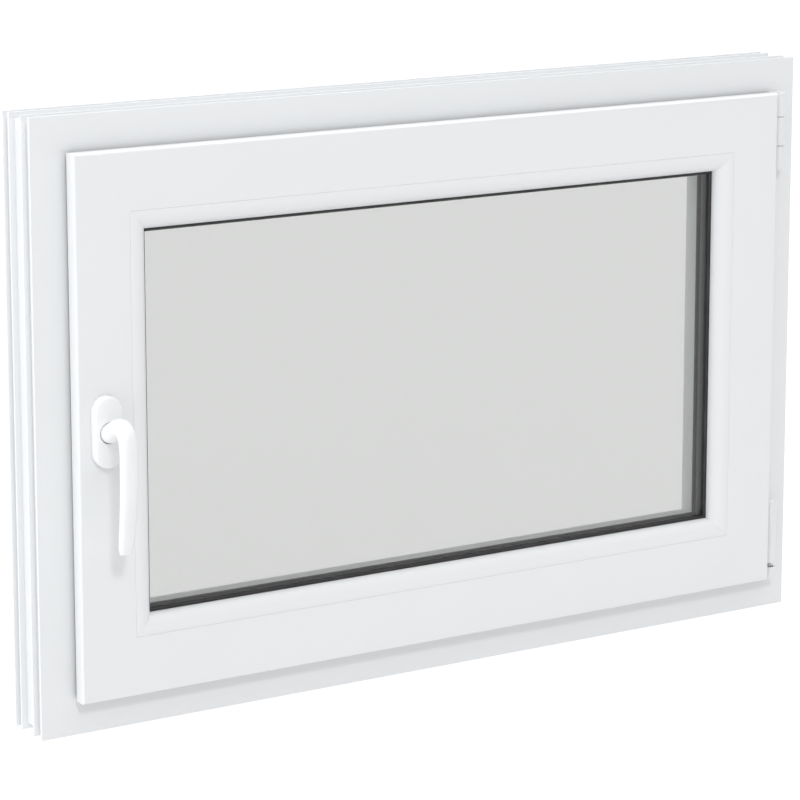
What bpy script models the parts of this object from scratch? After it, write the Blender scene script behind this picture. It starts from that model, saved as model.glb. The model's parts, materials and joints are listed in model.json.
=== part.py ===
# Tilt-and-turn casement window, 900 x 600 mm, in white uPVC with double glazing.
# Frame: X to the right as seen from the room, Y outdoors, Z up; the origin is at the middle of the
# sill, in the plane of the outer frame's room face. Sizes below are in millimetres.
# A profile point is (inset from the frame's outer edge, depth along Y).
import math

import bmesh
import bpy
from mathutils import Matrix, Vector
from mathutils.geometry import tessellate_polygon

MM = 0.001
WIDTH, HEIGHT, DEPTH = 900.0, 600.0, 58.0
GAP = 0.3                # between two pieces that touch
MITRE_GAP = 0.2          # taken off each mitred end, along the bar

# outer frame section
FRAME_FACE = 42.0        # width of the room face
LIP_TIP, LIP_FRONT = 62.0, 43.0
FIN_DEPTH = 6.0
FINS = ((0.0, 3.2), (17.0, 20.0), (42.7, 45.5), (55.5, DEPTH))
FRAME_WALL = 2.6
SEAL_SLOT = (55.8, 58.8, 2.0)    # from, to, depth

# sash section
SASH_EDGE, SASH_SIDE, SASH_REBATE, SASH_LIP = 35.0, 54.0, 93.0, 113.0
SASH_FRONT, FLANGE_BACK, SASH_BACK = -20.0, -5.0, 40.0
LIP_INNER = 19.0         # where the outer glazing gasket rests
GROOVE = (2.4, 13.6, 58.6)       # hardware groove: from, to, bottom
FLANGE_SLOT = (37.4, 40.2, -6.8)

# glazing, 4 - 12 - 4
PANE_EDGE, PANE, SPACE = 97.5, 4.0, 12.0
UNIT_DROP, UNIT_SHORT = 0.5, 3.7  # the glass unit stands low on its blocks and clears the top bar
GLASS_FRONT = -4.0
OUTER_PANE_FRONT = GLASS_FRONT + PANE + SPACE
GLASS_BACK = OUTER_PANE_FRONT + PANE
SIGHT_LINE = 112.3       # inner edge of the glazing beads

# hinge side
AXIS_X, AXIS_Y = WIDTH / 2 - 27.5, -11.5
TILT_Z = 40.0
KNUCKLE = 6.3
BARREL = 5.4             # band and arm barrels, under their covers
BORE, PIN = 3.1, 2.8
STRAP = (6.9, 10.4)      # behind the axis, in the gap between flange and frame
STAY_TOP, STAY_BOTTOM = 565.0, 484.0
STAY_ARM = (509.0, 539.4)
BAND = (52.5, 119.3)
BEARING = (35.0, 47.6)

# stay arm, measured from the hinge axis
ARM_LEVEL = (550.0, 553.0)
ARM_NEAR = (7.5, 14.5)
ARM_FAR = (15.5, 23.5)
ARM_REACH = 240.0
STUD = 3.0

# handle and drive
HANDLE_X, HANDLE_Z = -WIDTH / 2 + 63.0, 300.0
ROSETTE = (30.0, 70.0, 10.0)     # width, height, thickness
SCREW_PITCH = 43.0
SPINDLE = 3.5            # half the side of the square
HUB_PITCH = 5.73
HUB_TEETH = 12
TRAVEL = math.pi * HUB_PITCH
RAIL_Y = 8.0             # centre line of the rods and cams
ROD = (54.6, 57.2, 3.0, 13.0)    # inset from, to, depth from, to
PLATE = (51.7, 53.7, 0.0, 16.0)
CAM, CAM_TIP = 3.5, 46.6
CORNER_LEG = 70.0
SIDE_CAMS = (170.0, 430.0)
TOP_CAM = -250.0
BOTTOM_CAMS = (-200.0, 250.0)

WHITE = (0.84, 0.85, 0.86, 1)
COATED = (0.82, 0.83, 0.84, 1)
BLACK = (0.015, 0.015, 0.016, 1)
DARK = (0.05, 0.052, 0.055, 1)
GREY = (0.32, 0.33, 0.34, 1)
STEEL = (0.55, 0.56, 0.57, 1)
GLASS = (0.82, 0.88, 0.86, 1)


# --- helpers ---------------------------------------------------------------------------------

def arc(u, v, radius, start, end, steps=5):
    angles = [math.radians(start + (end - start) * i / steps) for i in range(steps + 1)]
    return [(u + radius * math.cos(a), v + radius * math.sin(a)) for a in angles]


def rect(u0, u1, v0, v1):
    return [(u0, v0), (u1, v0), (u1, v1), (u0, v1)]


def circle(u, v, radius, steps=20):
    return arc(u, v, radius, 0, 360 - 360 / steps, steps - 1)


def stadium(u, v, width, height, steps=8):
    """An upright slot shape with round ends."""
    radius, half = width / 2, height / 2 - width / 2
    return arc(u, v + half, radius, 0, 180, steps) + arc(u, v - half, radius, 180, 360, steps)


def material(name, colour, roughness, metallic=0.0, transmission=0.0):
    made = bpy.data.materials.new(name)
    made.use_nodes = True
    shader = made.node_tree.nodes["Principled BSDF"]
    shader.inputs["Base Color"].default_value = colour
    shader.inputs["Roughness"].default_value = roughness
    shader.inputs["Metallic"].default_value = metallic
    shader.inputs["Transmission Weight"].default_value = transmission
    return made


def finish(name, mesh, look, parent=None, smooth=False):
    """Closes up the mesh, faces it outwards and makes its object."""
    shape = bmesh.new()
    shape.from_mesh(mesh)
    bmesh.ops.remove_doubles(shape, verts=shape.verts, dist=1e-6)
    bmesh.ops.recalc_face_normals(shape, faces=shape.faces)
    shape.to_mesh(mesh)
    shape.free()
    thing = bpy.data.objects.new(name, mesh)
    bpy.context.collection.objects.link(thing)
    mesh.materials.append(material(name, *look))
    if smooth:
        mesh.shade_smooth()
        mesh.set_sharp_from_angle(angle=math.radians(35))
    if parent:
        thing.parent = parent
        thing.matrix_parent_inverse = Matrix.Translation(parent.location).inverted()
    return thing


def skin(name, loops, sections, closed=False):
    """A mesh through like sections. loops is the flat outline and its holes; a section has their points."""
    count = sum(len(loop) for loop in loops)
    points = [Vector(p) * MM for section in sections for p in section]
    faces = []
    last = len(sections) if closed else len(sections) - 1
    for s in range(last):
        here, there, first = s * count, (s + 1) % len(sections) * count, 0
        for loop in loops:
            size = len(loop)
            for k in range(size):
                a, b = first + k, first + (k + 1) % size
                faces.append((here + a, here + b, there + b, there + a))
            first += size
    if not closed:
        flat = [[Vector((u, v, 0)) for u, v in loop] for loop in loops]
        for a, b, c in tessellate_polygon(flat):
            faces.append((a, b, c))
            far = (len(sections) - 1) * count
            faces.append((far + c, far + b, far + a))
    mesh = bpy.data.meshes.new(name)
    mesh.from_pydata(points, [], faces)
    return mesh


def prism(name, loops, low, high, along):
    """Loops are drawn in the other two axes, in X, Y, Z order, and carried from low to high."""
    def place(u, v, w):
        return {"X": (w, u, v), "Y": (u, w, v), "Z": (u, v, w)}[along]

    sections = [[place(u, v, w) for loop in loops for u, v in loop] for w in (low, high)]
    return skin(name, loops, sections)


def corner_point(side, end, inset, depth, trim=0.0):
    """Where a profile point meets the mitre at one end of a side."""
    across = end * (WIDTH / 2 - inset - trim)
    upright = HEIGHT / 2 + end * (HEIGHT / 2 - inset - trim)
    return {
        "left": (-WIDTH / 2 + inset, depth, upright),
        "right": (WIDTH / 2 - inset, depth, upright),
        "top": (across, depth, HEIGHT - inset),
        "bottom": (across, depth, inset),
    }[side]


def mitred_bar(name, side, loops):
    sections = [
        [corner_point(side, end, i, y, MITRE_GAP) for loop in loops for i, y in loop]
        for end in (-1, 1)
    ]
    return skin(name, loops, sections)


def closed_ring(name, outline):
    """An unbroken run round all four sides."""
    corners = (("bottom", -1), ("bottom", 1), ("top", 1), ("top", -1))
    sections = [[corner_point(side, end, i, y) for i, y in outline] for side, end in corners]
    return skin(name, [outline], sections, closed=True)


def straight_bar(name, side, loops, shorten):
    """A bar cut square, whose ends stay back from the frame's corners."""
    if side in ("top", "bottom"):
        half = WIDTH / 2 - shorten
        flip = [[(y, i if side == "bottom" else HEIGHT - i) for i, y in loop] for loop in loops]
        return prism(name, flip, -half, half, "X")
    sign = -1 if side == "left" else 1
    flip = [[(sign * (WIDTH / 2 - i), y) for i, y in loop] for loop in loops]
    return prism(name, flip, shorten, HEIGHT - shorten, "Z")


def modify(base, operation, meshes):
    """Joins meshes to a base mesh, or cuts them from it, and returns the mesh that results."""
    body = bpy.data.objects.new("work", base)
    bpy.context.collection.objects.link(body)
    tools = []
    for mesh in meshes:
        tool = bpy.data.objects.new("tool", mesh)
        bpy.context.collection.objects.link(tool)
        shape = bmesh.new()
        shape.from_mesh(mesh)
        bmesh.ops.recalc_face_normals(shape, faces=shape.faces)
        shape.to_mesh(mesh)
        shape.free()
        step = body.modifiers.new("step", "BOOLEAN")
        step.operation, step.solver, step.object = operation, "EXACT", tool
        tools.append(tool)
    shape = bmesh.new()
    shape.from_mesh(base)
    bmesh.ops.recalc_face_normals(shape, faces=shape.faces)
    shape.to_mesh(base)
    shape.free()
    result = bpy.data.meshes.new_from_object(body.evaluated_get(bpy.context.evaluated_depsgraph_get()))
    for used in tools + [body]:
        bpy.data.objects.remove(used)
    return result


def join(base, *meshes):
    return modify(base, "UNION", meshes)


def cut(base, *meshes):
    return modify(base, "DIFFERENCE", meshes)


def box(low, high):
    return prism("box", [rect(low[0], high[0], low[1], high[1])], low[2], high[2], "Z")


def turned(name, profile, x, y, steps=20):
    """A solid of revolution about an upright axis; the profile runs from pole to pole as (radius, z)."""
    shape = bmesh.new()
    chain = [shape.verts.new(Vector((r, 0, z)) * MM) for r, z in profile]
    edges = [shape.edges.new(pair) for pair in zip(chain, chain[1:])]
    bmesh.ops.spin(shape, geom=chain + edges, cent=(0, 0, 0), axis=(0, 0, 1), angle=math.tau,
                   steps=steps, use_merge=True)
    bmesh.ops.remove_doubles(shape, verts=shape.verts, dist=1e-6)
    bmesh.ops.translate(shape, verts=shape.verts, vec=Vector((x, y, 0)) * MM)
    mesh = bpy.data.meshes.new(name)
    shape.to_mesh(mesh)
    shape.free()
    return mesh


def axis_empty(name, x, y, z, parent=None):
    mark = bpy.data.objects.new(name, None)
    mark.location = Vector((x, y, z)) * MM
    bpy.context.collection.objects.link(mark)
    if parent:
        mark.parent = parent
        mark.matrix_parent_inverse = Matrix.Translation(parent.location).inverted()
    return mark


SIDES = ("left", "right", "top", "bottom")
PVC = (WHITE, 0.28)
METAL = (STEEL, 0.35, 1.0)
COATING = (COATED, 0.35)
RUBBER = (BLACK, 0.6)


# --- outer frame -----------------------------------------------------------------------------

def frame_outline():
    start, end, depth = SEAL_SLOT
    edge = 2.0
    points = [(0, 0)] + arc(FRAME_FACE - 2.5, 2.5, 2.5, -90, 0)
    points += [(FRAME_FACE, LIP_FRONT), (start, LIP_FRONT), (start, LIP_FRONT + depth)]
    points += [(end, LIP_FRONT + depth), (end, LIP_FRONT), (LIP_TIP - edge, LIP_FRONT)]
    points += [(LIP_TIP, LIP_FRONT + edge), (LIP_TIP, DEPTH - edge), (LIP_TIP - edge, DEPTH)]
    points += [(0, DEPTH)]
    for outer, inner in zip(FINS[:0:-1], FINS[-2::-1]):
        points += [(0, outer[0]), (FIN_DEPTH, outer[0]), (FIN_DEPTH, inner[1]), (0, inner[1])]
    return points


def outer_frame():
    near, far = FIN_DEPTH + FRAME_WALL, FRAME_FACE - FRAME_WALL
    chambers = [
        rect(near, far, 2.8, 10.2),
        rect(near, far, 12.8, 40.2),
        rect(near, LIP_TIP - 3, 47.8, DEPTH - 2.8),
    ]
    tube = [rect(10.6, 37.4, 14.8, 38.2), rect(12.1, 35.9, 16.3, 36.7)]
    for side in SIDES:
        finish("frame_" + side, mitred_bar(side, side, [frame_outline()] + chambers), PVC)
        finish("frame_steel_" + side, straight_bar(side, side, tube, 66), METAL)
    slot_from, slot_to, slot_depth = SEAL_SLOT
    foot = (slot_from + GAP, slot_to - GAP, LIP_FRONT + slot_depth - GAP)
    lip = [
        (foot[0], foot[2]), (foot[0], 42.7), (55.2, 42.7), (55.2, 41.8), (57.0, 40.4),
        (59.6, 40.4), (60.2, 41.4), (60.2, 42.7), (foot[1], 42.7), (foot[1], foot[2]),
    ]
    finish("frame_seal", closed_ring("seal", lip), RUBBER)


def keeps():
    """Striker plates in the frame's rebate, low enough for the cams to pass over their lips."""
    plate = [(42.3, 1), (45.8, 1), (45.8, 3.2), (44.3, 3.2), (44.3, 17), (42.3, 17)]
    half = 24
    for name, z in zip(("keep_side_lower", "keep_side_upper"), SIDE_CAMS):
        outline = [(-WIDTH / 2 + i, y) for i, y in plate]
        finish(name, prism(name, [outline], z - half + 9, z + half + 9, "Z"), METAL)
    top = [(y, HEIGHT - i) for i, y in plate]
    finish("keep_top", prism("k", [top], TOP_CAM - half + 9, TOP_CAM + half + 9, "X"), METAL)
    bottom = [(y, i) for i, y in plate]
    at = BOTTOM_CAMS[0] - 9
    finish("keep_bottom", prism("k", [bottom], at - half, at + half, "X"), METAL)


# --- hinges ----------------------------------------------------------------------------------

def about_axis(points):
    return [(AXIS_X + u, AXIS_Y + v) for u, v in points]


def strap_outline(far, radius):
    """Plan of a barrel with its strap: round the front, then back through the gap and away."""
    front, back = STRAP
    barrel = arc(0, 0, radius, 70, -205, 14)
    return about_axis([(-1, back)] + barrel + [(-6.4, front), (far, front), (far, back)])


def fixed_hinges():
    """The two hinge parts that are screwed to the outer frame."""
    foot_front, foot_back = 8.0, 11.2
    knuckle = about_axis(
        arc(0, 0, KNUCKLE, 180, 360, 12) + [(KNUCKLE, foot_back), (-KNUCKLE, foot_back)]
    )
    bore = about_axis(circle(0, 0, BORE, 16))
    spine = about_axis(rect(3.4, KNUCKLE, foot_front, foot_back))
    low = prism("low", [knuckle, bore], STAY_BOTTOM, STAY_ARM[0] - 0.6, "Z")
    high = prism("high", [knuckle, bore], STAY_ARM[1] + 0.6, STAY_TOP, "Z")
    bar = prism("bar", [spine], STAY_ARM[0] - 3, STAY_ARM[1] + 3, "Z")
    finish("stay_bearing", join(low, bar, high), COATING, smooth=True)

    cup = prism("cup", [knuckle], BEARING[0], BEARING[1], "Z")
    socket = prism("socket", [about_axis(circle(0, 0, 4.8))], BEARING[0] + 1.2, BEARING[1] + 1, "Z")
    finish("corner_bearing", cut(cup, socket), COATING, smooth=True)


def corner_pin(tilt):
    """The pin that the sash turns on, with the ball that it tilts on."""
    ball = 3.5
    profile = [(0, TILT_Z - ball)]
    profile += [(r, z) for r, z in arc(0, TILT_Z, ball, -60, 30, 4)]
    profile += [(PIN, TILT_Z + 2.6), (PIN, 117), (0, 117)]
    mesh = turned("pin", profile, AXIS_X, AXIS_Y, 16)
    finish("corner_pin", mesh, METAL, tilt, smooth=True)


def cover_shell():
    """Outline of the cover that clips round a barrel, open at the back for its strap."""
    return about_axis(arc(0, 0, KNUCKLE, 60, -190, 14) + arc(0, 0, BARREL + GAP, -190, 60, 14))


def corner_band(tilt):
    """The sash half of the lower hinge: barrel, strap and a leg on the sash's side."""
    far = SASH_SIDE - 27.5 - GAP
    leg = about_axis(rect(-far, -far + 3, STRAP[0], 31))
    plan = [strap_outline(-far, BARREL), about_axis(circle(0, 0, BORE, 16))]
    barrel = prism("barrel", plan, BAND[0], BAND[1], "Z")
    mesh = join(barrel, prism("leg", [leg], BAND[0] + 6, BAND[1] - 0.5, "Z"))
    finish("corner_band", mesh, METAL, tilt, smooth=True)
    sleeve = prism("sleeve", [cover_shell()], BAND[0], BAND[1] + 1.2, "Z")
    cap = prism("cap", [about_axis(circle(0, 0, KNUCKLE, 24))], BAND[1] + GAP, BAND[1] + 1.5, "Z")
    finish("corner_band_cover", join(sleeve, cap), PVC, tilt, smooth=True)


def stay(turn, swing):
    """The upper hinge: its pin turns with the sash, and its arm also swings out as the sash tilts."""
    pin = prism("pin", [about_axis(circle(0, 0, PIN, 16))], STAY_BOTTOM + 2, STAY_TOP - 2, "Z")
    finish("stay_pin", pin, METAL, turn, smooth=True)
    plan = [strap_outline(-24, BARREL), about_axis(circle(0, 0, BORE, 16))]
    barrel = prism("barrel", plan, STAY_ARM[0], STAY_ARM[1], "Z")
    finish("stay_arm_cover", prism("sleeve", [cover_shell()], *STAY_ARM, "Z"), PVC, swing, smooth=True)
    leg = about_axis(rect(-24, -21, STRAP[0] + 0.1, 14.4))
    riser = prism("riser", [leg], STAY_ARM[0] + 1, ARM_LEVEL[1], "Z")
    near, far, end = ARM_NEAR, ARM_FAR, -ARM_REACH
    tip = arc(end, (far[0] + far[1]) / 2, (far[1] - far[0]) / 2, 90, 270, 8)
    outline = [(-21.5, near[0]), (-21.5, near[1]), (-150, near[1]), (-166, far[1])]
    outline += tip + [(-162, far[0]), (-146, near[0])]
    bar = prism("bar", [about_axis(outline)], ARM_LEVEL[0], ARM_LEVEL[1], "Z")
    stud_at = about_axis([(end, (far[0] + far[1]) / 2)])[0]
    stud = prism("stud", [circle(*stud_at, STUD, 16)], 542, ARM_LEVEL[0] + 1, "Z")
    finish("stay_arm", join(barrel, riser, bar, stud), METAL, swing, smooth=True)


# --- sash ------------------------------------------------------------------------------------

def sash_outline():
    slot_from, slot_to, slot_bottom = FLANGE_SLOT
    groove_from, groove_to, groove_bottom = GROOVE
    edge = 2.0
    points = arc(SASH_EDGE + 3, SASH_FRONT + 3, 3, 180, 270)
    points += [(SASH_REBATE, SASH_FRONT), (SASH_REBATE, LIP_INNER), (SASH_LIP - edge, LIP_INNER)]
    points += [(SASH_LIP, LIP_INNER + edge), (SASH_LIP, SASH_BACK - edge)]
    points += [(SASH_LIP - edge, SASH_BACK), (SASH_SIDE, SASH_BACK), (SASH_SIDE, groove_to)]
    points += [(groove_bottom, groove_to), (groove_bottom, groove_from), (SASH_SIDE, groove_from)]
    points += [(SASH_SIDE, FLANGE_BACK), (slot_to, FLANGE_BACK), (slot_to, slot_bottom)]
    points += [(slot_from, slot_bottom), (slot_from, FLANGE_BACK), (SASH_EDGE + 1, FLANGE_BACK)]
    return points + [(SASH_EDGE, FLANGE_BACK - 1)]


def sash_frame(tilt):
    deep = SASH_REBATE - 2.6
    chambers = [
        rect(38, 54.4, SASH_FRONT + 2.6, -9.4),
        rect(57, deep, SASH_FRONT + 2.6, -1),
        rect(61.2, deep, 1.6, 14.4),
        rect(57, deep, 17, SASH_BACK - 2.6),
        rect(95.6, SASH_LIP - 2.6, LIP_INNER + 2.6, SASH_BACK - 2.6),
    ]
    tube = [rect(59, 88, 19, 35.4), rect(60.5, 86.5, 20.5, 33.9)]
    for side in SIDES:
        mesh = mitred_bar(side, side, [sash_outline()] + chambers)
        if side == "left":
            mesh = cut(mesh, *handle_cutters())
        finish("sash_" + side, mesh, PVC, tilt)
        finish("sash_steel_" + side, straight_bar(side, side, tube, 118), METAL, tilt)
        bead_profile = bead_outline()
        finish("bead_" + side, mitred_bar(side, side, bead_profile), PVC, tilt, smooth=True)


def bead_outline():
    """A glazing bead: a rounded face over a foot that stands on the sash's rebate."""
    back, near = -7.3, SASH_REBATE + GAP
    round_from = 96.5
    face = [
        (round_from + (SIGHT_LINE - round_from) * math.sin(a), back - 1 - 11.7 * math.cos(a))
        for a in [math.radians(15 * k) for k in range(7)]
    ]
    outline = [(near, SASH_FRONT)] + face + [(SIGHT_LINE, back), (96.6, back), (96.6, 4), (near, 4)]
    hollow = [(95.4, -17.6), (98, -17.6), (104, -15.2), (108.5, -9.6), (95.4, -9.6)]
    return [outline, hollow]


def handle_cutters():
    """What is taken out of the left sash bar for the drive: pocket, spindle hole, screw holes."""
    x = HANDLE_X
    pocket = box((x - 11, GROOVE[0] - 1, 230), (x + 12, GROOVE[1] + 1, 370))
    holes = [prism("hole", [circle(x, HANDLE_Z, 7, 20)], SASH_FRONT - 1, GROOVE[0], "Y")]
    for side in (-1, 1):
        at = HANDLE_Z + side * SCREW_PITCH / 2
        holes.append(prism("hole", [circle(x, at, 3.2, 12)], SASH_FRONT - 1, GROOVE[0], "Y"))
    return [pocket] + holes


def glazing(tilt):
    inner = rect(99, SIGHT_LINE + 1.2, -7, GLASS_FRONT - GAP)
    outer = rect(99, SASH_LIP + 1.2, GLASS_BACK + GAP, LIP_INNER - GAP)
    finish("bead_gasket", closed_ring("g", inner), RUBBER, tilt)
    finish("outer_gasket", closed_ring("g", outer), RUBBER, tilt)
    half, low, high = WIDTH / 2 - PANE_EDGE, PANE_EDGE - UNIT_DROP, HEIGHT - PANE_EDGE - UNIT_SHORT
    for name, front in (("inner_pane", GLASS_FRONT), ("outer_pane", OUTER_PANE_FRONT)):
        mesh = box((-half, front, low), (half, front + PANE, high))
        finish(name, mesh, (GLASS, 0.02, 0.0, 1.0), tilt)
    space = rect(100, SIGHT_LINE + 0.9, GLASS_FRONT + PANE + GAP, OUTER_PANE_FRONT - GAP)
    spacer = closed_ring("s", space)
    for vertex in spacer.vertices:
        vertex.co.z -= (UNIT_SHORT if vertex.co.z > HEIGHT / 2 * MM else UNIT_DROP) * MM
    finish("spacer", spacer, (DARK, 0.45), tilt)
    for name, x in (("setting_block_left", -250), ("setting_block_right", 250)):
        mesh = box((x - 50, 4.6, SASH_REBATE + GAP), (x + 50, GLASS_BACK - GAP, PANE_EDGE - UNIT_DROP - GAP))
        finish(name, mesh, (GREY, 0.5), tilt)


def sash_seals(tilt):
    """The overlap seal, in two lengths because it stops on each side of both hinges."""
    slot_from, slot_to, slot_bottom = FLANGE_SLOT
    foot = (slot_from + GAP, slot_to - GAP)
    profile = [
        (foot[0], slot_bottom + GAP), (foot[0], -4.7), (36.6, -4.7), (37.2, -1.6), (38.6, -0.8),
        (40, -1.6), (40.8, -4.7), (foot[1], -4.7), (foot[1], slot_bottom + GAP),
    ]

    def at_right(z):
        return [(WIDTH / 2 - i, y, z) for i, y in profile]

    corners = (("bottom", 1), ("bottom", -1), ("top", -1), ("top", 1))
    around = [[corner_point(side, end, i, y) for i, y in profile] for side, end in corners]
    mesh = skin("seal", [profile], [at_right(46)] + around + [at_right(STAY_ARM[1] + 4)])
    grey_rubber = (GREY, 0.55)
    finish("sash_seal", mesh, grey_rubber, tilt)
    middle = skin("seal", [profile], [at_right(BAND[1] + 6), at_right(STAY_ARM[0] - 6)])
    finish("sash_seal_hinge_side", middle, grey_rubber, tilt)


# --- drive gear in the sash's groove ----------------------------------------------------------

def toothed(radius, count, tip, root, share):
    """A spur gear's outline, whose teeth fill a share of the pitch."""
    pitch = math.tau / count
    points = []
    for k in range(count):
        middle = k * pitch
        for r, part in ((root, -0.62), (radius + tip, -0.3), (radius + tip, 0.3), (root, 0.62)):
            a = middle + part * share * pitch
            points.append((HANDLE_X + r * math.cos(a), HANDLE_Z + r * math.sin(a)))
    return points


def square_hole(half, corner):
    points = []
    for k in range(4):
        turn = k * math.pi / 2
        for u, v in ((half, -corner), (half, corner)):
            points.append((HANDLE_X + u * math.cos(turn) - v * math.sin(turn),
                           HANDLE_Z + u * math.sin(turn) + v * math.cos(turn)))
    return points


def rods(side_slide, top_slide, bottom_slide):
    edge = -WIDTH / 2
    i0, i1, y0, y1 = ROD
    pitch = math.tau * HUB_PITCH / HUB_TEETH
    plate_y = (10.4, 12.4)
    lower = box((edge + i0, y0, 100), (edge + i1, y1, 252))
    upper = box((edge + i0, y0, 340), (edge + i1, y1, 500))
    web = [rect(edge + i0 + 0.4, HANDLE_X + 9.8, 246, 346), stadium(HANDLE_X, HANDLE_Z - 9, 12, 34)]
    plate = prism("plate", web, plate_y[0], plate_y[1], "Y")
    rack = [(HANDLE_X + 9.5, 268), (HANDLE_X + 9.5, 314), (HANDLE_X + 7, 314)]
    line, tip, root, share = HANDLE_X + HUB_PITCH, 0.7, 0.9, 0.36
    for k in range(3, -10, -1):
        middle = HANDLE_Z + (k + 0.5) * pitch
        for depth, part in ((root, 0.62), (-tip, 0.3), (-tip, -0.3), (root, -0.62)):
            rack.append((line + depth, middle + part * share * pitch))
    rack += [(line + root, 268)]
    teeth = prism("teeth", [rack], 4.2, plate_y[0] + 0.5, "Y")
    cams = [
        prism("cam", [circle(RAIL_Y, z, CAM, 16)], edge + CAM_TIP, edge + i0 + 1, "X")
        for z in SIDE_CAMS
    ]
    finish("side_rod", join(plate, lower, upper, teeth, *cams), METAL, side_slide)
    z0, z1 = HEIGHT - i1, HEIGHT - i0
    top = box((-345, y0, z0), (120, y1, z1))
    cam = prism("cam", [circle(TOP_CAM, RAIL_Y, CAM, 16)], z1 - 1, HEIGHT - CAM_TIP, "Z")
    finish("top_rod", join(top, cam), METAL, top_slide)
    bottom = box((-320, y0, i0), (300, y1, i1))
    cams = [prism("cam", [circle(x, RAIL_Y, CAM, 16)], CAM_TIP, i0 + 1, "Z") for x in BOTTOM_CAMS]
    finish("bottom_rod", join(bottom, *cams), METAL, bottom_slide)


def slot(centre, reach, along_depth=RAIL_Y):
    """A cam's slot: as long as the rod's travel, on the side that the rod moves to."""
    clear = CAM + 0.8
    low, high = min(centre, centre + reach) - clear, max(centre, centre + reach) + clear
    return rect(low, high, along_depth - CAM - 0.6, along_depth + CAM + 0.6)


def swapped(points):
    return [(v, u) for u, v in points]


def faceplates(tilt):
    i0, i1, y0, y1 = PLATE
    near = i0 + CORNER_LEG + GAP
    right_end = WIDTH / 2 - SASH_SIDE - 4
    slots = [swapped(slot(z, TRAVEL)) for z in SIDE_CAMS]
    side = prism("p", [rect(y0, y1, near, HEIGHT - near)] + slots,
                 -WIDTH / 2 + i0, -WIDTH / 2 + i1, "X")
    finish("faceplate_side", side, METAL, tilt)
    stud_x, stud_y = AXIS_X - ARM_REACH, RAIL_Y
    stay_slot = rect(stud_x - 5, stud_x + 10, stud_y - 5.2, stud_y + 5.2)
    strip = rect(-WIDTH / 2 + near, right_end, y0, y1)
    loops = [strip, slot(TOP_CAM, TRAVEL), stay_slot]
    finish("faceplate_top", prism("p", loops, HEIGHT - i1, HEIGHT - i0, "Z"), METAL, tilt)
    loops = [strip] + [slot(x, -TRAVEL) for x in BOTTOM_CAMS]
    finish("faceplate_bottom", prism("p", loops, i0, i1, "Z"), METAL, tilt)
    x, leg = -WIDTH / 2 + i0, CORNER_LEG
    wall = i1 - i0
    for name, z, up in (("corner_drive_top", HEIGHT - i0, -1), ("corner_drive_bottom", i0, 1)):
        outline = [(0, 0), (leg, 0), (leg, wall), (wall, wall)]
        outline += [(wall, leg), (0, leg)]
        placed = [(x + u, z + up * v) for u, v in outline]
        finish(name, prism(name, [placed], y0, y1, "Y"), METAL, tilt)


def gearbox(tilt):
    """A thin case open towards the groove, which the rod's plate and rack run in."""
    x, left = HANDLE_X, -WIDTH / 2 + ROD[1] + 0.6
    case = box((left, GROOVE[0] - 0.6, 232), (x + 11.6, GROOVE[1] + 0.6, 368))
    room = box((left - 2, GROOVE[0] + 0.9, 233.5), (x + 10.1, GROOVE[1] - 0.7, 366.5))
    through = prism("through", [circle(x, HANDLE_Z, 5.4)], GROOVE[0] - 3, GROOVE[1] + 3, "Y")
    cutters = [room, through]
    for side in (-1, 1):
        at = HANDLE_Z + side * SCREW_PITCH / 2
        cutters.append(prism("hole", [circle(x, at, 2.8, 12)], GROOVE[0] - 3, RAIL_Y, "Y"))
    finish("gearbox_case", cut(case, *cutters), METAL, tilt)


# --- handle ----------------------------------------------------------------------------------

def rosette(tilt):
    width, height, thick = ROSETTE
    front = SASH_FRONT - thick
    bore = circle(HANDLE_X, HANDLE_Z, 8.2, 24)
    plate = [stadium(HANDLE_X, HANDLE_Z, width - 5, height - 5), bore]
    holes = [circle(HANDLE_X, HANDLE_Z + s * SCREW_PITCH / 2, 2.9, 12) for s in (-1, 1)]
    base = prism("base", plate + holes, SASH_FRONT - 4, SASH_FRONT - GAP, "Y")
    finish("rosette_base", base, (COATED, 0.4), tilt)
    sizes = ((0, SASH_FRONT - GAP), (0, front + 3), (1.0, front + 0.9), (3.0, front))
    inner = ((1.6, front + 4), (1.6, SASH_FRONT - GAP))
    collar = 10.6
    sections, loops = [], [stadium(HANDLE_X, HANDLE_Z, width, height)]
    for less, y in sizes:
        outline = stadium(HANDLE_X, HANDLE_Z, width - 2 * less, height - 2 * less)
        sections.append([(u, y, v) for u, v in outline])
    shell = skin("shell", loops, sections)
    sections = []
    for less, y in inner:
        outline = stadium(HANDLE_X, HANDLE_Z, width - 2 * less, height - 2 * less)
        sections.append([(u, y + (1 if y > front + 5 else 0), v) for u, v in outline])
    hollow = skin("hollow", loops, sections)
    opening = prism("opening", [circle(HANDLE_X, HANDLE_Z, collar, 28)], front - 1, front + 5, "Y")
    finish("rosette_cover", cut(shell, hollow, opening), PVC, tilt, smooth=True)
    for name, side in (("handle_screw_lower", -1), ("handle_screw_upper", 1)):
        z = HANDLE_Z + side * SCREW_PITCH / 2
        shank = prism("shank", [circle(HANDLE_X, z, 2.45, 12)], SASH_FRONT - 5, 9.4, "Y")
        head = prism("head", [circle(HANDLE_X, z, 4.4, 16)], SASH_FRONT - 5.6, SASH_FRONT - 4 - GAP, "Y")
        finish(name, join(head, shank), METAL, tilt, smooth=True)


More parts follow.
